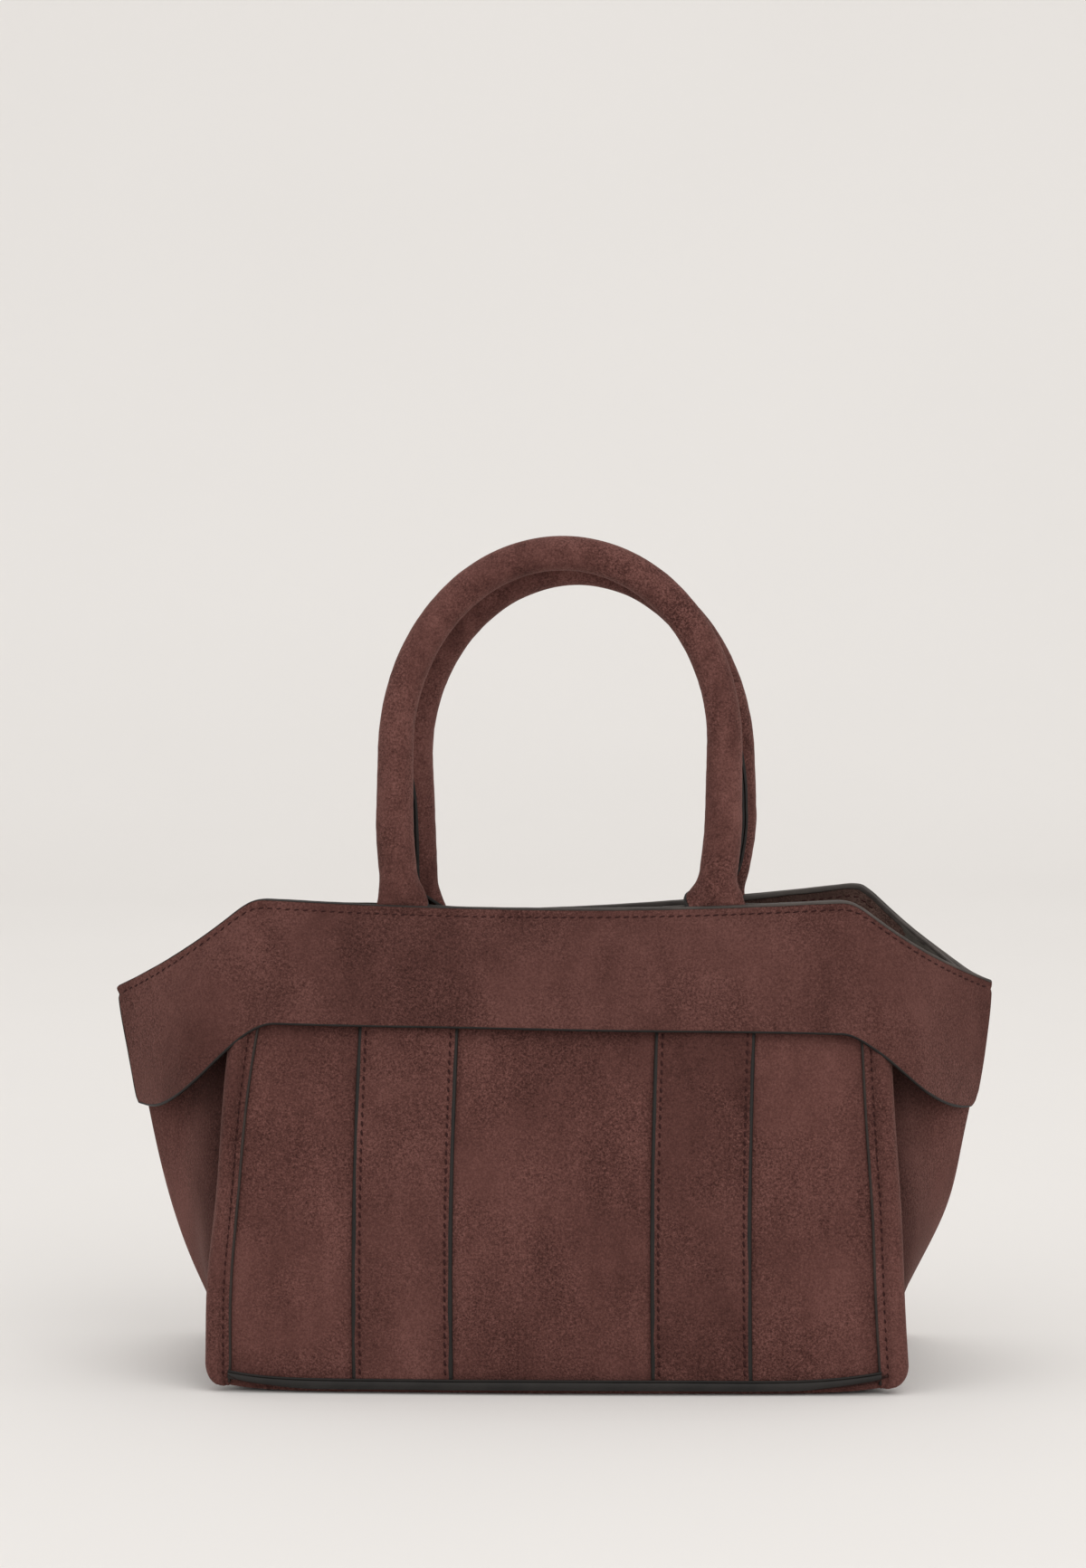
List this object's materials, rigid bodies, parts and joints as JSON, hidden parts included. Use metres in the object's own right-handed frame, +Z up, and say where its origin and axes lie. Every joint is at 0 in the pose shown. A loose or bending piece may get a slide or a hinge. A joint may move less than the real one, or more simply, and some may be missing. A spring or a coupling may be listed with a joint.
{
  "type": "handbag",
  "caption": "Soft winged top-handle bag with side gussets, a deep hanging collar round the rim, sewn strips and rolled handles that swing down.",
  "frame": {"origin": "middle of the base, on the surface the bag stands on", "axes": "+X to the right along the bag's width, +Y to the back, +Z up"},
  "size_m": [0.2992, 0.1218, 0.2859],
  "materials": {
    "suede": "matte chocolate-brown imitation suede with a short mottled nap",
    "edge_paint": "charcoal painted edge, slightly glossy",
    "lining": "plain dark woven lining",
    "board": "fibre board",
    "cord": "twisted cotton cord",
    "snap": "dull plated steel",
    "thread": "dark red-brown sewing thread"
  },
  "bodies": {
    "bag": {"front_panel": "suede", "back_panel": "suede", "left_gusset": "suede", "right_gusset": "suede", "base_panel": "suede", "base_board": "board", "front_stiffener": "board", "back_stiffener": "board", "front_collar": "suede", "back_collar": "suede", "front_facing": "suede", "back_facing": "suede", "front_strip_left": "suede", "front_strip_right": "suede", "back_strip_left": "suede", "back_strip_right": "suede", "front_binding_left": "suede", "front_binding_right": "suede", "back_binding_left": "suede", "back_binding_right": "suede", "front_base_piping": "edge_paint", "back_base_piping": "edge_paint", "lining": "lining", "front_handle_tab_left": "suede", "front_handle_tab_right": "suede", "back_handle_tab_left": "suede", "back_handle_tab_right": "suede", "snap_socket": "snap", "snap_socket_washer": "snap", "snap_stud": "snap", "snap_stud_washer": "snap"},
    "front_handle": {"front_handle_cover": "suede", "front_handle_core": "cord"},
    "back_handle": {"back_handle_cover": "suede", "back_handle_core": "cord"}
  },
  "joints": [
    {"name": "front_handle_swing", "type": "hinge", "parent": "bag", "child": "front_handle", "pos_m": [0, -0.01754, 0.16651], "axis": [1, 0, 0], "range_deg": [0, 95]},
    {"name": "back_handle_swing", "type": "hinge", "parent": "bag", "child": "back_handle", "pos_m": [0, 0.01754, 0.16651], "axis": [-1, 0, 0], "range_deg": [0, 95]}
  ]
}
